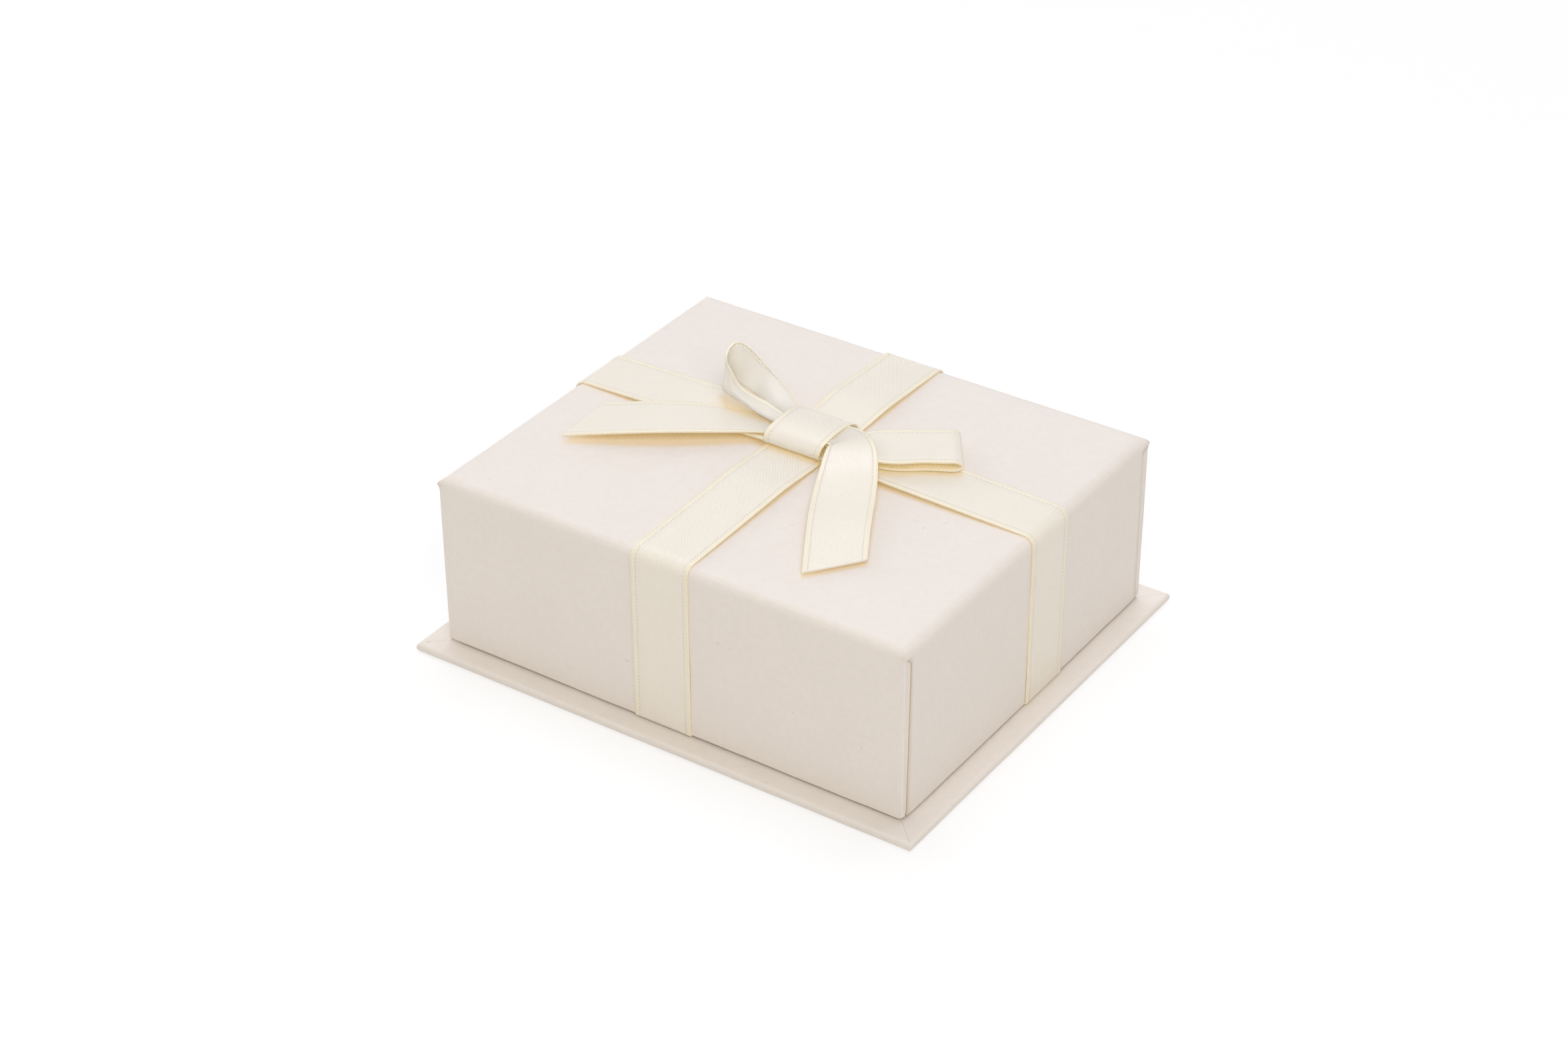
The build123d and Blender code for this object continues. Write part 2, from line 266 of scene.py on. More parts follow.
def lining_paper():
    """Plain uncoated paper inside the box."""
    finish = Finish(bpy.data.materials.new("lining_paper"))
    place = finish.place()
    cloud = finish.noise(place, scale=90.0, detail=3.0)
    grain = finish.noise(place, scale=4200.0, detail=3.0)
    colour = finish.mix(cloud, shade(0.80, 0.77, 0.72), shade(0.86, 0.835, 0.79))
    return finish.surface(
        Base_Color=finish.mix(grain * 0.25, colour, shade(0.72, 0.68, 0.61)),
        Roughness=0.75 + grain * 0.15,
        Normal=finish.bump(grain, 0.03 * MM),
    )


def greyboard():
    """Recycled board: grey-brown, speckled with paler fibres."""
    finish = Finish(bpy.data.materials.new("greyboard"))
    place = finish.place()
    pulp = finish.noise(place, scale=700.0, detail=5.0)
    fibre = flecks(finish, place, scale=600.0, stretch=(1.0, 0.3, 1.0), width=0.12)
    colour = finish.mix(pulp, shade(0.30, 0.27, 0.23), shade(0.50, 0.46, 0.40))
    return finish.surface(
        Base_Color=finish.mix(fibre * 0.5, colour, shade(0.62, 0.58, 0.50)),
        Roughness=0.85,
        Normal=finish.bump(pulp, 0.06 * MM),
    )


def stay_tape():
    """Brown gummed paper tape."""
    finish = Finish(bpy.data.materials.new("stay_tape"))
    pulp = finish.noise(finish.place(), scale=1500.0, detail=4.0)
    colour = finish.mix(pulp, shade(0.55, 0.42, 0.27), shade(0.72, 0.58, 0.41))
    return finish.surface(Base_Color=colour, Roughness=0.6, Normal=finish.bump(pulp, 0.02 * MM))


def satin(name, pale, deep, roughness):
    """Ivory satin: close floats along the ribbon, a row of stitches near each selvedge, and painted golden
    shade towards both selvedges.
    """
    finish = Finish(bpy.data.materials.new(name))
    thread = finish.node("ShaderNodeUVMap", {"uv_map": "thread"})
    across = finish.node("ShaderNodeSeparateXYZ", sockets={0: thread}, output="X")
    along = finish.node("ShaderNodeSeparateXYZ", sockets={0: thread}, output="Y")
    slanted = finish.node("ShaderNodeCombineXYZ", sockets={0: along + across * FLOAT_SLANT, 1: across})
    floats = finish.node(
        "ShaderNodeTexBrick",
        {"offset": 0.0, "squash": 1.0},
        {"Vector": slanted, "Scale": 1.0, "Mortar Size": 0.04, "Mortar Smooth": 1.0, "Bias": 0.0,
         "Brick Width": FLOAT_LENGTH, "Row Height": FLOAT_WIDTH},
        "Fac",
    )
    inset = SATIN_WIDTH / 2 - abs(across - SATIN_WIDTH / 2)
    # Painted shade: the satin turns golden towards both selvedges, standing in for light through its thin
    # edges.
    edge_shade = 0.6 - finish.rise(inset, 0.2, 1.1) * 0.6
    stitch_line = 1 - finish.rise(abs(inset - STITCH_INSET), 0.04, 0.13)
    turn = along * (2 * math.pi / STITCH_PITCH)
    hole = stitch_line * finish.rise(turn.math("SINE", turn), -0.2, 0.5)
    drawn_out = finish.node("ShaderNodeCombineXYZ", sockets={0: across * 9.0, 1: along * 0.5})
    yarn = finish.noise(drawn_out, scale=1.0)
    colour = finish.mix(finish.noise(finish.place(), scale=180.0), deep, pale)
    colour = finish.mix(edge_shade, colour, shade(0.93, 0.85, 0.63))
    colour = finish.mix(floats * 0.14, colour, shade(0.76, 0.66, 0.50))
    colour = finish.mix(hole * 0.30, colour, shade(0.64, 0.54, 0.38))
    return finish.surface(
        Base_Color=colour,
        Roughness=roughness + floats * 0.2,
        Specular_IOR_Level=0.75,
        Normal=finish.bump(yarn * 0.35 - floats - hole * 1.3, 0.03 * MM),
    )


paper_finish = pearl_paper()
lining_finish = lining_paper()
board_finish = greyboard()
tape_finish = stay_tape()
satin_finish = satin("satin_face", shade(0.93, 0.875, 0.775), shade(0.905, 0.845, 0.735), 0.24)
# Painted light: the reverse side is paler than the face, standing in for light that comes through the thin
# satin into the loops and under the tails.
reverse_finish = satin("satin_reverse", shade(0.98, 0.94, 0.86), shade(0.97, 0.92, 0.82), 0.4)


# Meshes

def add_piece(name, bm, body, slot, finish, *nodes):
    """Makes a piece of the object from a finished bmesh, standing for the frame's nodes."""
    mesh = bpy.data.meshes.new(name)
    bm.to_mesh(mesh)
    bm.free()
    mesh.materials.append(finish)
    mesh.shade_smooth()
    piece = bpy.data.objects.new(name, mesh)
    bpy.context.scene.collection.objects.link(piece)
    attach(piece, body)
    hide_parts(*nodes)
    return piece


def round_edges(piece, radius, angle):
    """Rounds the edges that are sharper than an angle, in degrees."""
    step = piece.modifiers.new("round_edges", "BEVEL")
    step.width = radius
    step.segments = 2
    step.limit_method = "ANGLE"
    step.angle_limit = math.radians(angle)


def thicken(piece, thickness, offset):
    """Gives a sheet its thickness, behind its surface for an offset of -1 or to both sides for 0."""
    wall = piece.modifiers.new("wall", "SOLIDIFY")
    wall.thickness = thickness
    wall.offset = offset


def even_shading(piece):
    piece.modifiers.new("even_shading", "WEIGHTED_NORMAL").keep_sharp = True


def glued_paper(piece, radius):
    """Rounds a cover paper's small folds and gives it its thickness."""
    round_edges(piece, radius, angle=35)
    thicken(piece, PAPER, offset=-1)
    even_shading(piece)


def open_box(low, high, *open_sides):
    """A box without the sides that face the given way along Z."""
    bm = bmesh.new()
    bmesh.ops.create_cube(bm, size=1.0)
    bmesh.ops.scale(bm, vec=high - low, verts=bm.verts)
    bmesh.ops.translate(bm, vec=(low + high) / 2, verts=bm.verts)
    bm.normal_update()
    sides = [face for face in bm.faces if round(face.normal.z) in open_sides]
    bmesh.ops.delete(bm, geom=sides, context="FACES_ONLY")
    return bm


def lies_at(edge, height):
    """Whether an edge lies level at a height."""
    return all(abs(vert.co.z - height) < TOUCH for vert in edge.verts)


def is_mitre(edge):
    """Whether an edge runs as far along X as along Y."""
    run = edge.verts[1].co - edge.verts[0].co
    return abs(abs(run.x) - abs(run.y)) < TOUCH


def open_edges(bm, height):
    """The paper's open edges that lie at a height."""
    return [edge for edge in bm.edges if edge.is_boundary and lies_at(edge, height)]


def outer_edges(bm, height, half_length):
    """The edges of the outside rectangle at a height."""
    level = [edge for edge in bm.edges if lies_at(edge, height)]
    return [edge for edge in level if all(abs(abs(vert.co.x) - half_length) < TOUCH for vert in edge.verts)]


def turn_paper(bm, edges, half_length, half_width, height):
    """Brings the paper on from an open edge to a rectangle of that size at that height."""
    made = bmesh.ops.extrude_edge_only(bm, edges=edges)["geom"]
    for vert in made:
        if isinstance(vert, bmesh.types.BMVert):
            vert.co = (math.copysign(half_length, vert.co.x), math.copysign(half_width, vert.co.y), height)


def round_off(bm, edges, radius, segments):
    bmesh.ops.bevel(bm, geom=edges, offset=radius, offset_type="OFFSET", segments=segments,
                    profile=0.5, affect="EDGES", material=-1)


def cut_across(bm, axis, places):
    """Cuts every face at the given places along an axis."""
    normal = Vector([float(i == axis) for i in range(3)])
    for place in places:
        bmesh.ops.bisect_plane(bm, geom=bm.verts[:] + bm.edges[:] + bm.faces[:], dist=TOUCH / 10,
                               plane_co=normal * place, plane_no=normal)


def steps(low, high, pitch):
    """Evenly spaced places strictly between two ends."""
    count = math.ceil((high - low) / pitch)
    return [low + (high - low) * i / count for i in range(1, count)]


def rumple(bm, depth, size, seed):
    """Moves a paper's points in and out a little, as glued paper never lies quite flat."""
    bm.normal_update()
    seed = Vector(seed)
    moves = []
    for vert in bm.verts:
        place = vert.co / size
        swell = noise.noise(place + seed) + 0.5 * noise.noise(place * 2.3 - seed)
        moves.append(vert.normal * swell * depth)
    for vert, move in zip(bm.verts, moves):
        vert.co += move


# The lid's paper

def cut_lid(bm):
    """Cuts the lid's paper finely enough to bend, closest beside its edges and along its laps."""
    pitch_x, pitch_y, pitch_z = LID_PITCH
    cut_across(bm, 0, steps(lid_low.x, lid_high.x, pitch_x))
    cut_across(bm, 1, steps(lid_low.y, lid_high.y, pitch_y))
    for column in LAP_COLUMNS:
        cut_across(bm, 1, [column - lid_high.y, lid_high.y - column])
    for inset in LID_EDGE_CUTS:
        cut_across(bm, 0, [inset - lid_high.x, lid_high.x - inset])
        cut_across(bm, 1, [inset - lid_high.y, lid_high.y - inset])
    cut_across(bm, 2, steps(lid_low.z, lap_start - LAP_MARGIN, pitch_z))
    cut_across(bm, 2, [lap_start - LAP_MARGIN * share for share in NOTCH_SHARES])


def hang_rim(bm):
    """Lets the fold at the lid's rim hang a little unevenly and rise at the corners."""
    for vert in bm.verts:
        if vert.co.z - lid_low.z > RIM_FOLD + TOUCH:
            continue
        end_gap = lid_high.x - abs(vert.co.x)
        side_gap = lid_high.y - abs(vert.co.y)
        if end_gap < side_gap:
            rise = max(1 - side_gap / RIM_END_REACH, 0.0) ** 2
        else:
            rise = max(1 - end_gap / RIM_SIDE_REACH, 0.0) ** 2
        wave = RIM_WAVE * noise.noise(vert.co / RIM_WAVE_LENGTH)
        vert.co.z += wave - RIM_DROP + RIM_LIFT * rise


def lap_margin(height):
    """How far the end flap's cut edge stands from the vertical edge, at a height."""
    curl = lap_start - LAP_MARGIN
    if height > curl:
        return math.sqrt(max(LAP_MARGIN ** 2 - (height - curl) ** 2, 0.0))
    wander = LAP_WANDER * noise.noise(Vector((0.0, 0.0, height / LAP_WANDER_LENGTH)))
    return LAP_MARGIN - LAP_TAPER * (curl - height) / (curl - lid_low.z) + wander


def lap_ends(bm):
    """Steps the paper down beside each vertical edge, where the end flap's cut edge lies on the tab."""
    seam_and_crease_shade = bm.verts.layers.float["seam_and_crease_shade"]
    for vert in bm.verts:
        x, y, z = vert.co
        if abs(x) < lid_high.x - TOUCH or z > lap_start + TOUCH:
            continue
        inset = lid_high.y - abs(y)
        lip, foot, tab = [abs(inset - column) < TOUCH / 2 for column in LAP_COLUMNS]
        if lip or foot or tab:
            shift = max(lap_margin(z), 3 * LAP_STEP) - LAP_MARGIN
            vert.co.y = math.copysign(abs(y) - shift, y)
        if inset < LAP_MARGIN + TOUCH / 2:
            vert.co.x = math.copysign(abs(x) - LAP_SINK, x)
        vert[seam_and_crease_shade] = foot + LAP_LIP_TINT * lip


def pleat_corners(bm):
    """Gathers the paper at the lid's top corners into small crinkled pleats, and paints shade into their
    creases.
    """
    seam_and_crease_shade = bm.verts.layers.float["seam_and_crease_shade"]
    for vert in bm.verts:
        x, y, z = vert.co
        corner = Vector((math.copysign(lid_high.x, x), math.copysign(lid_high.y, y), lid_high.z - PLEAT_DROP))
        near = max(1 - (vert.co - corner).length / PLEAT_REACH, 0.0)
        outward = Vector((math.copysign(1.0, x), math.copysign(1.0, y), PLEAT_LEAN)).normalized()
        crinkle = 1.0 + PLEAT_CRINKLE_DEPTH * noise.noise(vert.co / PLEAT_CRINKLE)
        vert.co += outward * PLEAT * near * crinkle
        # Painted shade: the paper is darkened along the crinkles' creases.
        crease = abs(noise.noise(vert.co / PLEAT_CREASE))
        vert[seam_and_crease_shade] = max(vert[seam_and_crease_shade], PLEAT_SHADE * near * crease)


def lid_paper():
    """The lid's cover: top and sides in one sheet, end flaps lapped over tabs, turned in at the rim."""
    bm = open_box(lid_low, lid_high, -1)
    bm.verts.layers.float.new("seam_and_crease_shade")
    inside_x = lid_room_high.x - PAPER
    inside_y = lid_room_high.y - PAPER
    turn_paper(bm, open_edges(bm, lid_low.z), inside_x, inside_y, lid_low.z)
    turn_paper(bm, open_edges(bm, lid_low.z), inside_x, inside_y, lid_room_low.z)
    top = [edge for edge in bm.edges if lies_at(edge, lid_high.z)]
    round_off(bm, top, LID_EDGE, segments=6)
    upright = [
        edge for edge in bm.edges
        if abs(edge.verts[0].co.z - edge.verts[1].co.z) > LID_EDGE * 2
        and all(abs(vert.co.x) > lid_high.x - TOUCH for vert in edge.verts)
    ]
    round_off(bm, upright, LID_CORNER, segments=3)
    folds = [
        edge for edge in bm.edges
        if lies_at(edge, lid_low.z) and len(edge.link_faces) == 2 and edge.calc_face_angle() > FOLD_ANGLE
    ]
    round_off(bm, folds, RIM_FOLD, segments=2)
    cut_lid(bm)
    hang_rim(bm)
    lap_ends(bm)
    pleat_corners(bm)
    rumple(bm, depth=0.05 * MM, size=14 * MM, seed=(3.1, 0.7, 5.2))
    piece = add_piece("lid_paper", bm, "lid", "pearl_paper", paper_finish, "lid_wrap")
    thicken(piece, PAPER, offset=-1)
    even_shading(piece)


# The base's paper

def base_paper():
    """The plate's cover: underside and edges in one sheet, turned in over the top with mitred corners."""
    bm = open_box(base_low, base_high, 1)
    seam_and_crease_shade = bm.verts.layers.float.new("seam_and_crease_shade")
    inner_x = base_high.x - BASE_TURN_IN
    inner_y = base_high.y - BASE_TURN_IN
    turn_paper(bm, open_edges(bm, base_high.z), inner_x, inner_y, base_high.z)
    rims = outer_edges(bm, base_high.z, base_high.x) + outer_edges(bm, base_low.z, base_high.x)
    round_off(bm, rims, BASE_EDGE, segments=3)
    mitres = [
        edge for edge in bm.edges
        if is_mitre(edge) and all(vert.co.z > base_high.z - TOUCH for vert in edge.verts)
    ]
    round_off(bm, mitres, MITRE_GAP / 2, segments=2)
    for vert in bm.verts:
        off_line = (base_high.x - abs(vert.co.x)) - (base_high.y - abs(vert.co.y))
        if vert.co.z > base_high.z - TOUCH and abs(off_line) < TOUCH:
            vert.co.z -= MITRE_DIP
            vert[seam_and_crease_shade] = MITRE_TINT
    cut_across(bm, 0, steps(base_low.x, base_high.x, BASE_PITCH))
    cut_across(bm, 1, steps(base_low.y, base_high.y, BASE_PITCH))
    rumple(bm, depth=0.03 * MM, size=11 * MM, seed=(1.4, 8.2, 2.6))
    rumple(bm, depth=0.02 * MM, size=2.7 * MM, seed=(5.9, 0.4, 7.7))
    for vert in bm.verts:
        vert.co.z = max(vert.co.z, base_low.z)
    piece = add_piece("base_paper", bm, "base", "pearl_paper", paper_finish, "base_wrap")
    glued_paper(piece, BASE_FOLD)


def tray_paper():
    """The tray's cover, turned under its floor and down inside its rim."""
    bm = open_box(tray_low, tray_high, -1, 1)
    bm.verts.layers.float.new("seam_and_crease_shade")
    under_x = tray_high.x - TRAY_UNDERLAP
    under_y = tray_high.y - TRAY_UNDERLAP
    inside_x = tray_room_high.x - PAPER
    inside_y = tray_room_high.y - PAPER
    turn_paper(bm, open_edges(bm, tray_low.z), under_x, under_y, tray_low.z)
    turn_paper(bm, open_edges(bm, tray_high.z), inside_x, inside_y, tray_high.z)
    turn_paper(bm, open_edges(bm, tray_high.z), inside_x, inside_y, tray_room_high.z)
    piece = add_piece("tray_paper", bm, "base", "pearl_paper", paper_finish, "tray_wrap")
    glued_paper(piece, TRAY_FOLD)


# Ribbons

# Across a ribbon: how far from the near selvedge, and how high the weave stands there
WEAVE_SHARES = np.array([0.0, 0.02, 0.05, 0.075, 0.09, 0.11, 0.2, 0.35, 0.5,
                         0.65, 0.8, 0.89, 0.91, 0.925, 0.95, 0.98, 1.0])
WEAVE_RELIEF = np.array([0.0, 0.04, 0.05, 0.02, -0.02, 0.01, 0.0, 0.0, 0.0,
                         0.0, 0.0, 0.01, -0.02, 0.02, 0.05, 0.04, 0.0]) * MM
SPLINE_STEPS = 600             # points at which a strip's length is measured
ARC_STEPS = 8                  # straight pieces in one bend of a band


def travelled(line):
    """How far along a row of points each of them lies."""
    return np.concatenate([[0.0], np.cumsum(np.linalg.norm(np.diff(line, axis=0), axis=1))])


def smooth_line(knots, points, places):
    """A natural cubic spline through points at knots, read at places along it."""
    gaps = np.diff(knots)
    slopes = np.diff(points, axis=0) / gaps[:, None]
    system = np.eye(len(knots))
    turns = np.zeros_like(points)
    for i in range(1, len(knots) - 1):
        system[i, i - 1:i + 2] = gaps[i - 1], 2 * (gaps[i - 1] + gaps[i]), gaps[i]
        turns[i] = 6 * (slopes[i] - slopes[i - 1])
    bends = np.linalg.solve(system, turns)
    i = np.clip(np.searchsorted(knots, places) - 1, 0, len(gaps) - 1)
    gap = gaps[i][:, None]
    before = (knots[i + 1] - places)[:, None]
    after = (places - knots[i])[:, None]
    line = (bends[i] * before ** 3 + bends[i + 1] * after ** 3) / (6 * gap)
    line += (points[i] / gap - bends[i] * gap / 6) * before
    return line + (points[i + 1] / gap - bends[i + 1] * gap / 6) * after


def threads(stations):
    """Rows of points down a strip's near selvedge, middle and far selvedge, through given stations.
    A station is a near point, a far point and, between them, a point on the crease if there is one."""
    lines = []
    for near, *crease, far in stations:
        middle = crease[0] if crease else np.add(near, far) / 2
        lines.append((near, middle, far))
    lines = np.array(lines, float)
    knots = travelled(lines.mean(axis=1))
    fine = np.linspace(0.0, knots[-1], SPLINE_STEPS)
    travel = travelled(smooth_line(knots, lines[:, 1], fine))
    rows = int(travel[-1] / THREAD_STEP)
    places = np.interp(np.linspace(0.0, travel[-1], rows), travel, fine)
    return [smooth_line(knots, lines[:, i], places) for i in range(3)]


def ribbon(name, lines, held, rests_on, *nodes):
    """A satin strip woven through three rows of points: selvedge, middle and other selvedge.
    Seen from its face, the first selvedge is on the left of the way it runs."""
    near, middle, far = lines
    rows = len(near)
    columns = len(WEAVE_SHARES)
    travel = travelled(middle)
    share = WEAVE_SHARES[None, :, None]
    points = near[:, None] * (1 - share) * (1 - 2 * share) + far[:, None] * share * (2 * share - 1)
    points += middle[:, None] * 4 * share * (1 - share)
    side = np.gradient(points, axis=1)
    side /= np.linalg.norm(side, axis=2, keepdims=True)
    up = np.cross(side, np.gradient(points, axis=0))
    up /= np.linalg.norm(up, axis=2, keepdims=True)
    width = np.linalg.norm(np.diff(points, axis=1), axis=2).sum(axis=1)
    points += up * WEAVE_RELIEF[None, :, None]
    wave = SCALLOP * np.sin(travel * 2 * np.pi / SCALLOP_PITCH)[:, None]
    points[:, 0] -= side[:, 0] * wave
    points[:, -1] += side[:, -1] * wave
    bm = bmesh.new()
    thread = bm.loops.layers.uv.new("thread")
    bmesh.ops.create_grid(bm, x_segments=columns - 1, y_segments=rows - 1, size=1.0)
    for vert in bm.verts:
        column = round((vert.co.x + 1) / 2 * (columns - 1))
        row = round((vert.co.y + 1) / 2 * (rows - 1))
        vert.co = points[row, column]
        for loop in vert.link_loops:
            loop[thread].uv = (WEAVE_SHARES[column] * SATIN_WIDTH, travel[row] / MM)
    piece = add_piece(name, bm, "lid", "satin_ribbon", satin_finish, *nodes)
    piece.data.materials.append(reverse_finish)
    thicken(piece, RIBBON, offset=0)
    piece.modifiers["wall"].material_offset = 1
    round_edges(piece, RIBBON_EDGE, angle=50)
    even_shading(piece)
    share = min(float(width.mean()) / RIBBON_WIDTH, 1.0)


def rounded_path(corners, radii):
    """Points along straight runs joined by arcs, closely and evenly spaced."""
    points = [Vector(corners[0])]
    for before, corner, after, radius in zip(corners, corners[1:], corners[2:], radii):
        corner = Vector(corner)
        inward = (Vector(before) - corner).normalized()
        outward = (Vector(after) - corner).normalized()
        half = inward.angle(outward) / 2
        reach = radius / math.tan(half)
        centre = corner + (inward + outward).normalized() * (radius / math.sin(half))
        start = corner + inward * reach - centre
        end = corner + outward * reach - centre
        for i in range(ARC_STEPS + 1):
            spoke = start.normalized().slerp(end.normalized(), i / ARC_STEPS)
            points.append(centre + spoke * start.length)
    points.append(Vector(corners[-1]))
    line = np.array(points)
    travel = travelled(line)
    rows = int(travel[-1] / THREAD_STEP)
    places = np.linspace(0.0, travel[-1], rows)
    return np.stack([np.interp(places, travel, line[:, i]) for i in range(2)], axis=1)


def band_profile(half_outside, half_inside, tuck, middle, slack, press):
    """A band's section: up inside one rim, over the lid with some slack, and down inside the other."""
    skin = RIBBON / 2
    under = lid_low.z - skin
    over = lid_high.z + skin
    outside = half_outside + skin
    inside = half_inside - skin
    corners = [
        (-inside, tuck), (-inside, under), (-outside, under), (-outside, over),
        (middle - SLACK_REACH, over + slack), (middle - PRESS_REACH, over + press),
        (middle + PRESS_REACH, over + press), (middle + SLACK_REACH, over + slack),
        (outside, over), (outside, under), (inside, under), (inside, tuck),
    ]
    half = [BAND_FOLD, BAND_FOLD, LID_EDGE + skin, SLACK_BEND, PRESS_BEND]
    return rounded_path(corners, half + half[::-1])


def long_band():
    """The band along the lid, over the other one at the crossing."""
    profile = band_profile(lid_high.x, lid_room_high.x - PAPER, long_low.z + BAND_TUCK, crossing.x,
                           LONG_SLACK, crossing.z - lid_high.z - RIBBON)
    along = np.stack([profile[:, 0], np.full(len(profile), crossing.y), profile[:, 1]], axis=1)
    shift = np.array([0.0, RIBBON_WIDTH / 2, 0.0])
    ribbon("satin_long", (along + shift, along, along - shift), "stretched", "lid_paper", "ribbon_long")


def cross_band():
    """The band across the lid."""
    profile = band_profile(lid_high.y, lid_room_high.y - PAPER, cross_low.z + BAND_TUCK, crossing.y,
                           CROSS_SLACK, CROSS_PRESS)
    along = np.stack([np.full(len(profile), crossing.x), profile[:, 0], profile[:, 1]], axis=1)
    shift = np.array([RIBBON_WIDTH / 2, 0.0, 0.0])
    ribbon("satin_cross", (along - shift, along, along + shift), "stretched", "lid_paper", "ribbon_cross")


# The bow, each strip through listed stations

def at(x, y, z):
    """A point of the bow, in ribbon widths from the middle of the long band over the crossing."""
    return tuple(crossing + Vector((x, y, z)) * RIBBON_WIDTH)


def knot():
    """A short strip once round the long band and the gathered bow."""
    section = [(0.10, -0.05), (-0.42, -0.05), (-0.53, 0.02), (-0.48, 0.12), (-0.31, 0.185), (0.0, 0.205),
               (0.30, 0.175), (0.48, 0.09), (0.53, 0.02), (0.43, -0.05), (0.15, -0.05)]
    lines = threads([(at(-0.50, y, z), at(0.50, y, z)) for y, z in section])
    ribbon("satin_knot", lines, "gathered", "satin_long", "bow_knot")


def left_loop():
    """The loop that stands up and leans back, creased lengthwise."""
    lines = threads([
        (at(-0.20, 0.06, 0.12), at(-0.20, -0.12, 0.10), at(-0.20, 0.05, 0.07)),
        (at(-0.54, 0.12, 0.14), at(-0.57, -0.13, 0.11), at(-0.54, 0.08, 0.07)),
        (at(-0.87, 0.18, 0.175), at(-0.82, -0.13, 0.15), at(-0.80, 0.10, 0.09)),
        (at(-1.10, 0.185, 0.21), at(-1.06, -0.11, 0.20), at(-1.08, 0.14, 0.11)),
        (at(-1.32, 0.175, 0.27), at(-1.32, -0.08, 0.26), at(-1.37, 0.20, 0.12)),
        (at(-1.47, 0.18, 0.37), at(-1.53, -0.02, 0.31), at(-1.74, 0.25, 0.10)),
        (at(-1.60, 0.19, 0.54), at(-1.68, 0.15, 0.39), at(-1.86, 0.36, 0.10)),
        (at(-1.74, 0.29, 0.70), at(-1.75, 0.30, 0.46), at(-1.78, 0.36, 0.18)),
        (at(-1.75, 0.49, 0.80), at(-1.70, 0.40, 0.53), at(-1.66, 0.30, 0.25)),
        (at(-1.61, 0.59, 0.79), at(-1.55, 0.45, 0.52), at(-1.51, 0.27, 0.24)),
        (at(-1.38, 0.60, 0.66), at(-1.37, 0.45, 0.44), at(-1.39, 0.26, 0.22)),
        (at(-1.18, 0.61, 0.48), at(-1.21, 0.45, 0.36), at(-1.26, 0.26, 0.18)),
        (at(-0.97, 0.61, 0.33), at(-1.04, 0.37, 0.31), at(-1.13, 0.25, 0.14)),
        (at(-0.70, 0.51, 0.22), at(-0.81, 0.23, 0.24), at(-0.92, 0.18, 0.10)),
        (at(-0.45, 0.36, 0.16), at(-0.50, 0.17, 0.18), at(-0.50, 0.06, 0.12)),
        (at(-0.20, 0.28, 0.13), at(-0.20, 0.14, 0.16), at(-0.20, 0.02, 0.13)),
    ])
    ribbon("satin_loop_left", lines[::-1], "gathered", "satin_knot", "bow_loop_left")


def right_loop():
    """The loop that lies flat."""
    lines = threads([
        (at(0.25, -0.30, 0.04), at(0.25, 0.24, 0.04)),
        (at(0.62, -0.34, 0.05), at(0.62, 0.27, 0.04)),
        (at(1.37, -0.255, 0.02), at(0.85, 0.51, 0.03)),
        (at(1.95, 0.075, 0.01), at(1.40, 0.875, 0.015)),
        (at(2.28, 0.265, 0.008), at(1.72, 1.09, 0.012)),
        (at(2.41, 0.345, 0.035), at(1.85, 1.17, 0.03)),
        (at(2.445, 0.368, 0.078), at(1.885, 1.19, 0.06)),
        (at(2.41, 0.342, 0.122), at(1.85, 1.165, 0.092)),
        (at(2.28, 0.255, 0.147), at(1.72, 1.08, 0.112)),
        (at(1.95, 0.045, 0.15), at(1.40, 0.855, 0.115)),
        (at(1.40, -0.305, 0.147), at(0.85, 0.48, 0.11)),
        (at(0.62, -0.34, 0.12), at(0.62, 0.27, 0.10)),
        (at(0.25, -0.30, 0.10), at(0.25, 0.24, 0.10)),
    ])
    ribbon("satin_loop_right", lines, "gathered", "satin_knot", "bow_loop_right")


def left_tail():
    """The tail that lies to the left, cut on the slant."""
    lines = threads([
        (at(-0.20, -0.33, 0.04), at(-0.20, 0.11, 0.04)),
        (at(-0.57, -0.41, 0.04), at(-0.57, 0.07, 0.04)),
        (at(-0.89, -0.60, 0.05), at(-1.27, 0.01, 0.015)),
        (at(-1.77, -1.25, 0.08), at(-2.25, -0.39, 0.03)),
        (at(-3.125, -2.07, -0.02), at(-3.16, -0.94, -0.01)),
    ])
    ribbon("satin_tail_left", lines, "gathered", "satin_knot", "bow_tail_left")


def front_tail():
    """The tail that bends down to the front, cut on the slant."""
    lines = threads([
        (at(0.25, -0.27, 0.16), at(0.25, 0.17, 0.16)),
        (at(0.58, -0.36, 0.18), at(0.62, 0.27, 0.185)),
        (at(0.62, -0.46, 0.23), at(0.96, 0.11, 0.25)),
        (at(0.74, -0.86, 0.13), at(1.41, -0.34, 0.15)),
        (at(1.20, -1.86, 0.02), at(2.03, -1.45, 0.02)),
        (at(1.94, -3.15, -0.055), at(2.53, -2.36, -0.055)),
    ])
    ribbon("satin_tail_front", lines[::-1], "gathered", "satin_knot", "bow_tail_front")


def dress_boards():
    """Gives the frame's own pieces their finishes."""
    finishes = {"greyboard": board_finish, "stay_tape": tape_finish, "lining_paper": lining_finish,
                "pearl_paper": paper_finish, "satin_ribbon": satin_finish}
    for part in frame["record"]["subparts"]:
        mesh = frame["nodes"][part["node"]].data
        mesh.materials.clear()
        mesh.materials.append(finishes[part["material_slot"]])


# Stage

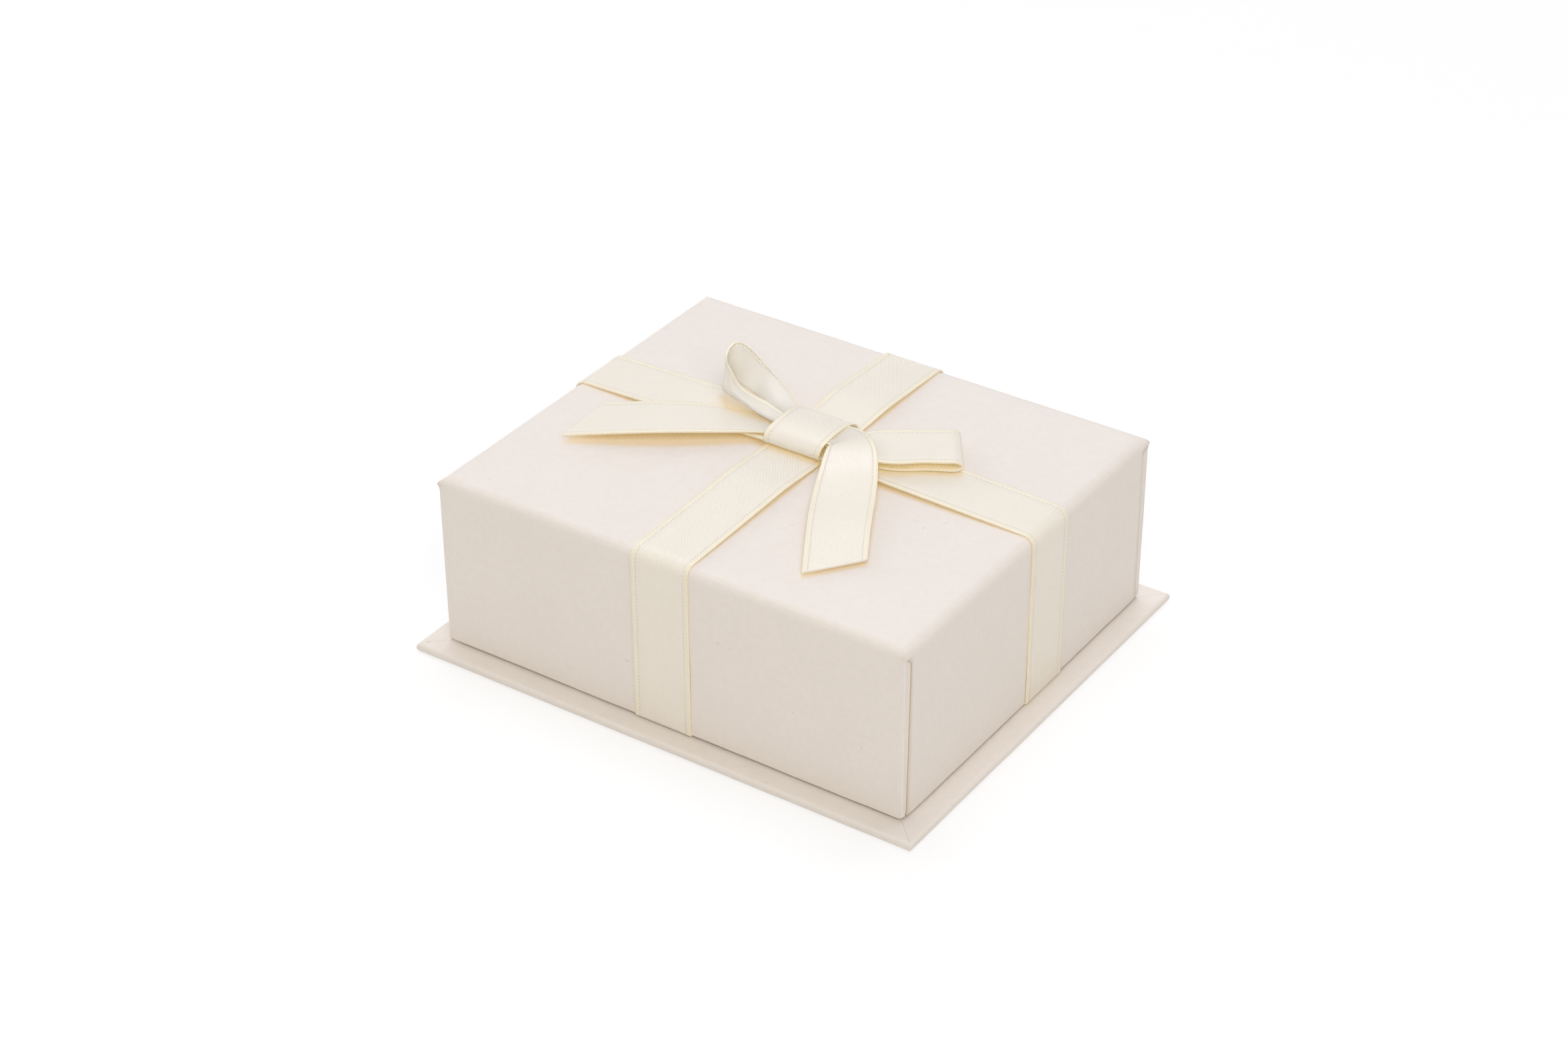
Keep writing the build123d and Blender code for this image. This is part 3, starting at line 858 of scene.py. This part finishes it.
VIEW_AZIMUTH = 34.139
VIEW_ELEVATION = 32.534
VIEW_ROLL = -0.221
VIEW_TARGET = Vector((-4.19, 2.61, 16.04)) * MM
VIEW_DISTANCE = 492.5 * MM
VIEW_LENS = 73.72
VIEW_SENSOR = 36.0
SKY_LOW = shade(0.66, 0.64, 0.60)
SKY_HIGH = shade(0.30, 0.30, 0.30)
WHITE = shade(1.0, 1.0, 1.0)
LAMP_LENGTH = 0.8
LAMP_WIDTH = 0.65
FRONT_PLACE = (0.55, -0.62, 0.85)
FRONT_WATTS = 5.75
FRONT_TINT = (1.0, 0.95, 0.88)
LEFT_PLACE = (-1.10, 0.10, 0.28)
LEFT_WATTS = 3.5
LEFT_TINT = (1.0, 0.97, 0.93)
SHEEN_PLACE = (-0.41, 0.61, 0.95)
SHEEN_WATTS = 2.2
SHEEN_TINT = (1.0, 0.99, 0.97)
TOP_PLACE = (-0.10, 0.35, 1.25)
COOL_WATTS = 5.8
COOL_TINT = (0.17, 0.44, 1.0)
WARM_WATTS = 4.2
WARM_TINT = (1.0, 0.67, 0.11)
FLOOR_HALF = 6.0               # from the middle of the table top to its edges
FLOOR_DROP = 0.02 * MM         # how far it lies under the box
FLOOR_COLOUR = shade(0.84, 0.83, 0.82)
FLOOR_SEEN_COLOUR = shade(0.93, 0.93, 0.93)
FLOOR_GLOW = 1.1               # strength of the white that is mixed into the table top where it is seen
FLOOR_GLOW_SHARE = 0.5


def camera():
    """The photograph's view."""
    azimuth = math.radians(VIEW_AZIMUTH)
    elevation = math.radians(VIEW_ELEVATION)
    back = Vector((
        math.sin(azimuth) * math.cos(elevation),
        -math.cos(azimuth) * math.cos(elevation),
        math.sin(elevation),
    ))
    lens = bpy.data.cameras.new("camera")
    lens.sensor_width = VIEW_SENSOR
    lens.lens = VIEW_LENS
    lens.clip_start = 0.01
    eye = bpy.data.objects.new("camera", lens)
    eye.location = VIEW_TARGET + back * VIEW_DISTANCE
    eye.rotation_mode = "QUATERNION"
    roll = Quaternion((0.0, 0.0, 1.0), math.radians(VIEW_ROLL))
    eye.rotation_quaternion = (-back).to_track_quat("-Z", "Y") @ roll
    bpy.context.scene.collection.objects.link(eye)
    bpy.context.scene.camera = eye


def seen_directly(finish):
    """1 on rays from the camera, also by way of a mirror or glass, and 0 on light that falls on things."""
    rays = [finish.node("ShaderNodeLightPath", output=name)
            for name in ("Is Camera Ray", "Is Glossy Ray", "Is Transmission Ray")]
    return rays[0].math("MAXIMUM", rays[0].math("MAXIMUM", rays[0], rays[1]), rays[2])


def sky():
    """A white surround to look at, that gives warm light, less of it from above."""
    world = bpy.data.worlds.new("studio")
    bpy.context.scene.world = world
    finish = Finish(world)
    way = finish.node("ShaderNodeTexCoord", output="Generated")
    height = finish.node("ShaderNodeSeparateXYZ", sockets={0: way}, output="Z")
    tint = finish.mix(height, SKY_LOW, SKY_HIGH)
    light = finish.node("ShaderNodeBackground", sockets={"Color": tint, "Strength": 1.0})
    white = finish.node("ShaderNodeBackground", sockets={"Color": WHITE, "Strength": 1.0})
    both = finish.node("ShaderNodeMixShader", sockets={0: seen_directly(finish), 1: light, 2: white})
    finish.show(both, "ShaderNodeOutputWorld")


def floor():
    """A white table top that keeps the box's shadow."""
    finish = Finish(bpy.data.materials.new("table"))
    seen = seen_directly(finish)
    colour = finish.mix(seen, FLOOR_COLOUR, FLOOR_SEEN_COLOUR)
    matt = finish.node("ShaderNodeBsdfDiffuse", sockets={"Color": colour})
    glow = finish.node("ShaderNodeEmission", sockets={"Color": WHITE, "Strength": FLOOR_GLOW})
    share = seen * FLOOR_GLOW_SHARE
    finish.show(finish.node("ShaderNodeMixShader", sockets={0: share, 1: matt, 2: glow}))
    bm = bmesh.new()
    bmesh.ops.create_grid(bm, x_segments=1, y_segments=1, size=FLOOR_HALF)
    bmesh.ops.translate(bm, vec=(0.0, 0.0, -FLOOR_DROP), verts=bm.verts)
    mesh = bpy.data.meshes.new("table")
    bm.to_mesh(mesh)
    bm.free()
    mesh.materials.append(finish.owner)
    table = bpy.data.objects.new("table", mesh)
    bpy.context.scene.collection.objects.link(table)


def softbox(name, place, watts, tint):
    """A large soft lamp that faces the box."""
    lamp = bpy.data.lights.new(name, "AREA")
    lamp.shape = "RECTANGLE"
    lamp.size = LAMP_LENGTH
    lamp.size_y = LAMP_WIDTH
    lamp.energy = watts
    lamp.color = tint
    holder = bpy.data.objects.new(name, lamp)
    holder.location = place
    holder.rotation_mode = "QUATERNION"
    holder.rotation_quaternion = (VIEW_TARGET - holder.location).to_track_quat("-Z", "Y")
    bpy.context.scene.collection.objects.link(holder)
    return holder


def lamps():
    """Lamps in front and at the left, a pair above, and one at the back that shows only in reflections.
    The pair is a cool lamp and a warm one in one place, which together give white light. The ribbons don't
    block the warm one, so their shadows are golden, as under thin satin."""
    softbox("front_lamp", FRONT_PLACE, FRONT_WATTS, FRONT_TINT)
    softbox("left_lamp", LEFT_PLACE, LEFT_WATTS, LEFT_TINT)
    softbox("top_lamp_cool", TOP_PLACE, COOL_WATTS, COOL_TINT)
    warm = softbox("top_lamp_warm", TOP_PLACE, WARM_WATTS, WARM_TINT)
    sheen = softbox("sheen_lamp", SHEEN_PLACE, SHEEN_WATTS, SHEEN_TINT)
    sheen.visible_diffuse = False
    satin_pieces = bpy.data.collections.new("satin_pieces")
    for piece in bpy.context.scene.collection.objects:
        if piece.name.startswith("satin_"):
            satin_pieces.objects.link(piece)
    for member in satin_pieces.collection_objects:
        member.light_linking.link_state = "EXCLUDE"
    warm.light_linking.blocker_collection = satin_pieces


dress_boards()
lid_paper()
base_paper()
tray_paper()
long_band()
cross_band()
knot()
left_loop()
right_loop()
left_tail()
front_tail()
camera()
sky()
floor()
lamps()
bpy.context.scene.view_settings.view_transform = "Standard"
